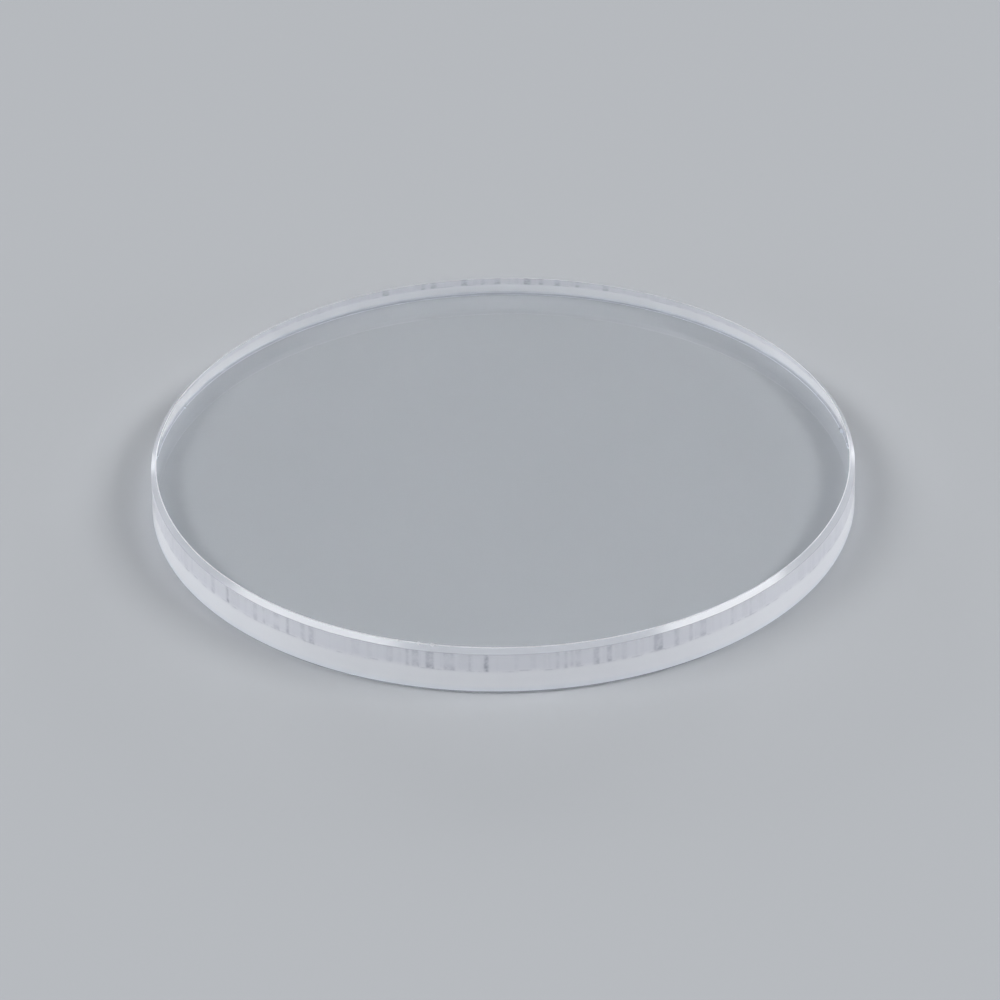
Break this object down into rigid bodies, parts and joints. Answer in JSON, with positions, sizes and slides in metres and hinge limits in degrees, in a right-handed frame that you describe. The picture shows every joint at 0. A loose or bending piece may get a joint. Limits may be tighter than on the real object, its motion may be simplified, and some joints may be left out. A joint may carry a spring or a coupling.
{
  "type": "watch crystal",
  "caption": "Flat round watch crystal: a clear glass disc with polished faces, a bevelled upper edge and a fine-ground frosted rim.",
  "frame": {"origin": "centre of the seat face, the flat face that rests in the watch case", "axes": "+Z along the crystal's axis of revolution, out of the watch towards the eye"},
  "size_m": [0.035, 0.035, 0.0025],
  "materials": {
    "mineral_glass": "clear, with polished faces, satin lapped bevels and a fine-ground frosted rim"
  },
  "bodies": {
    "root": {"crystal": "mineral_glass"}
  },
  "joints": []
}
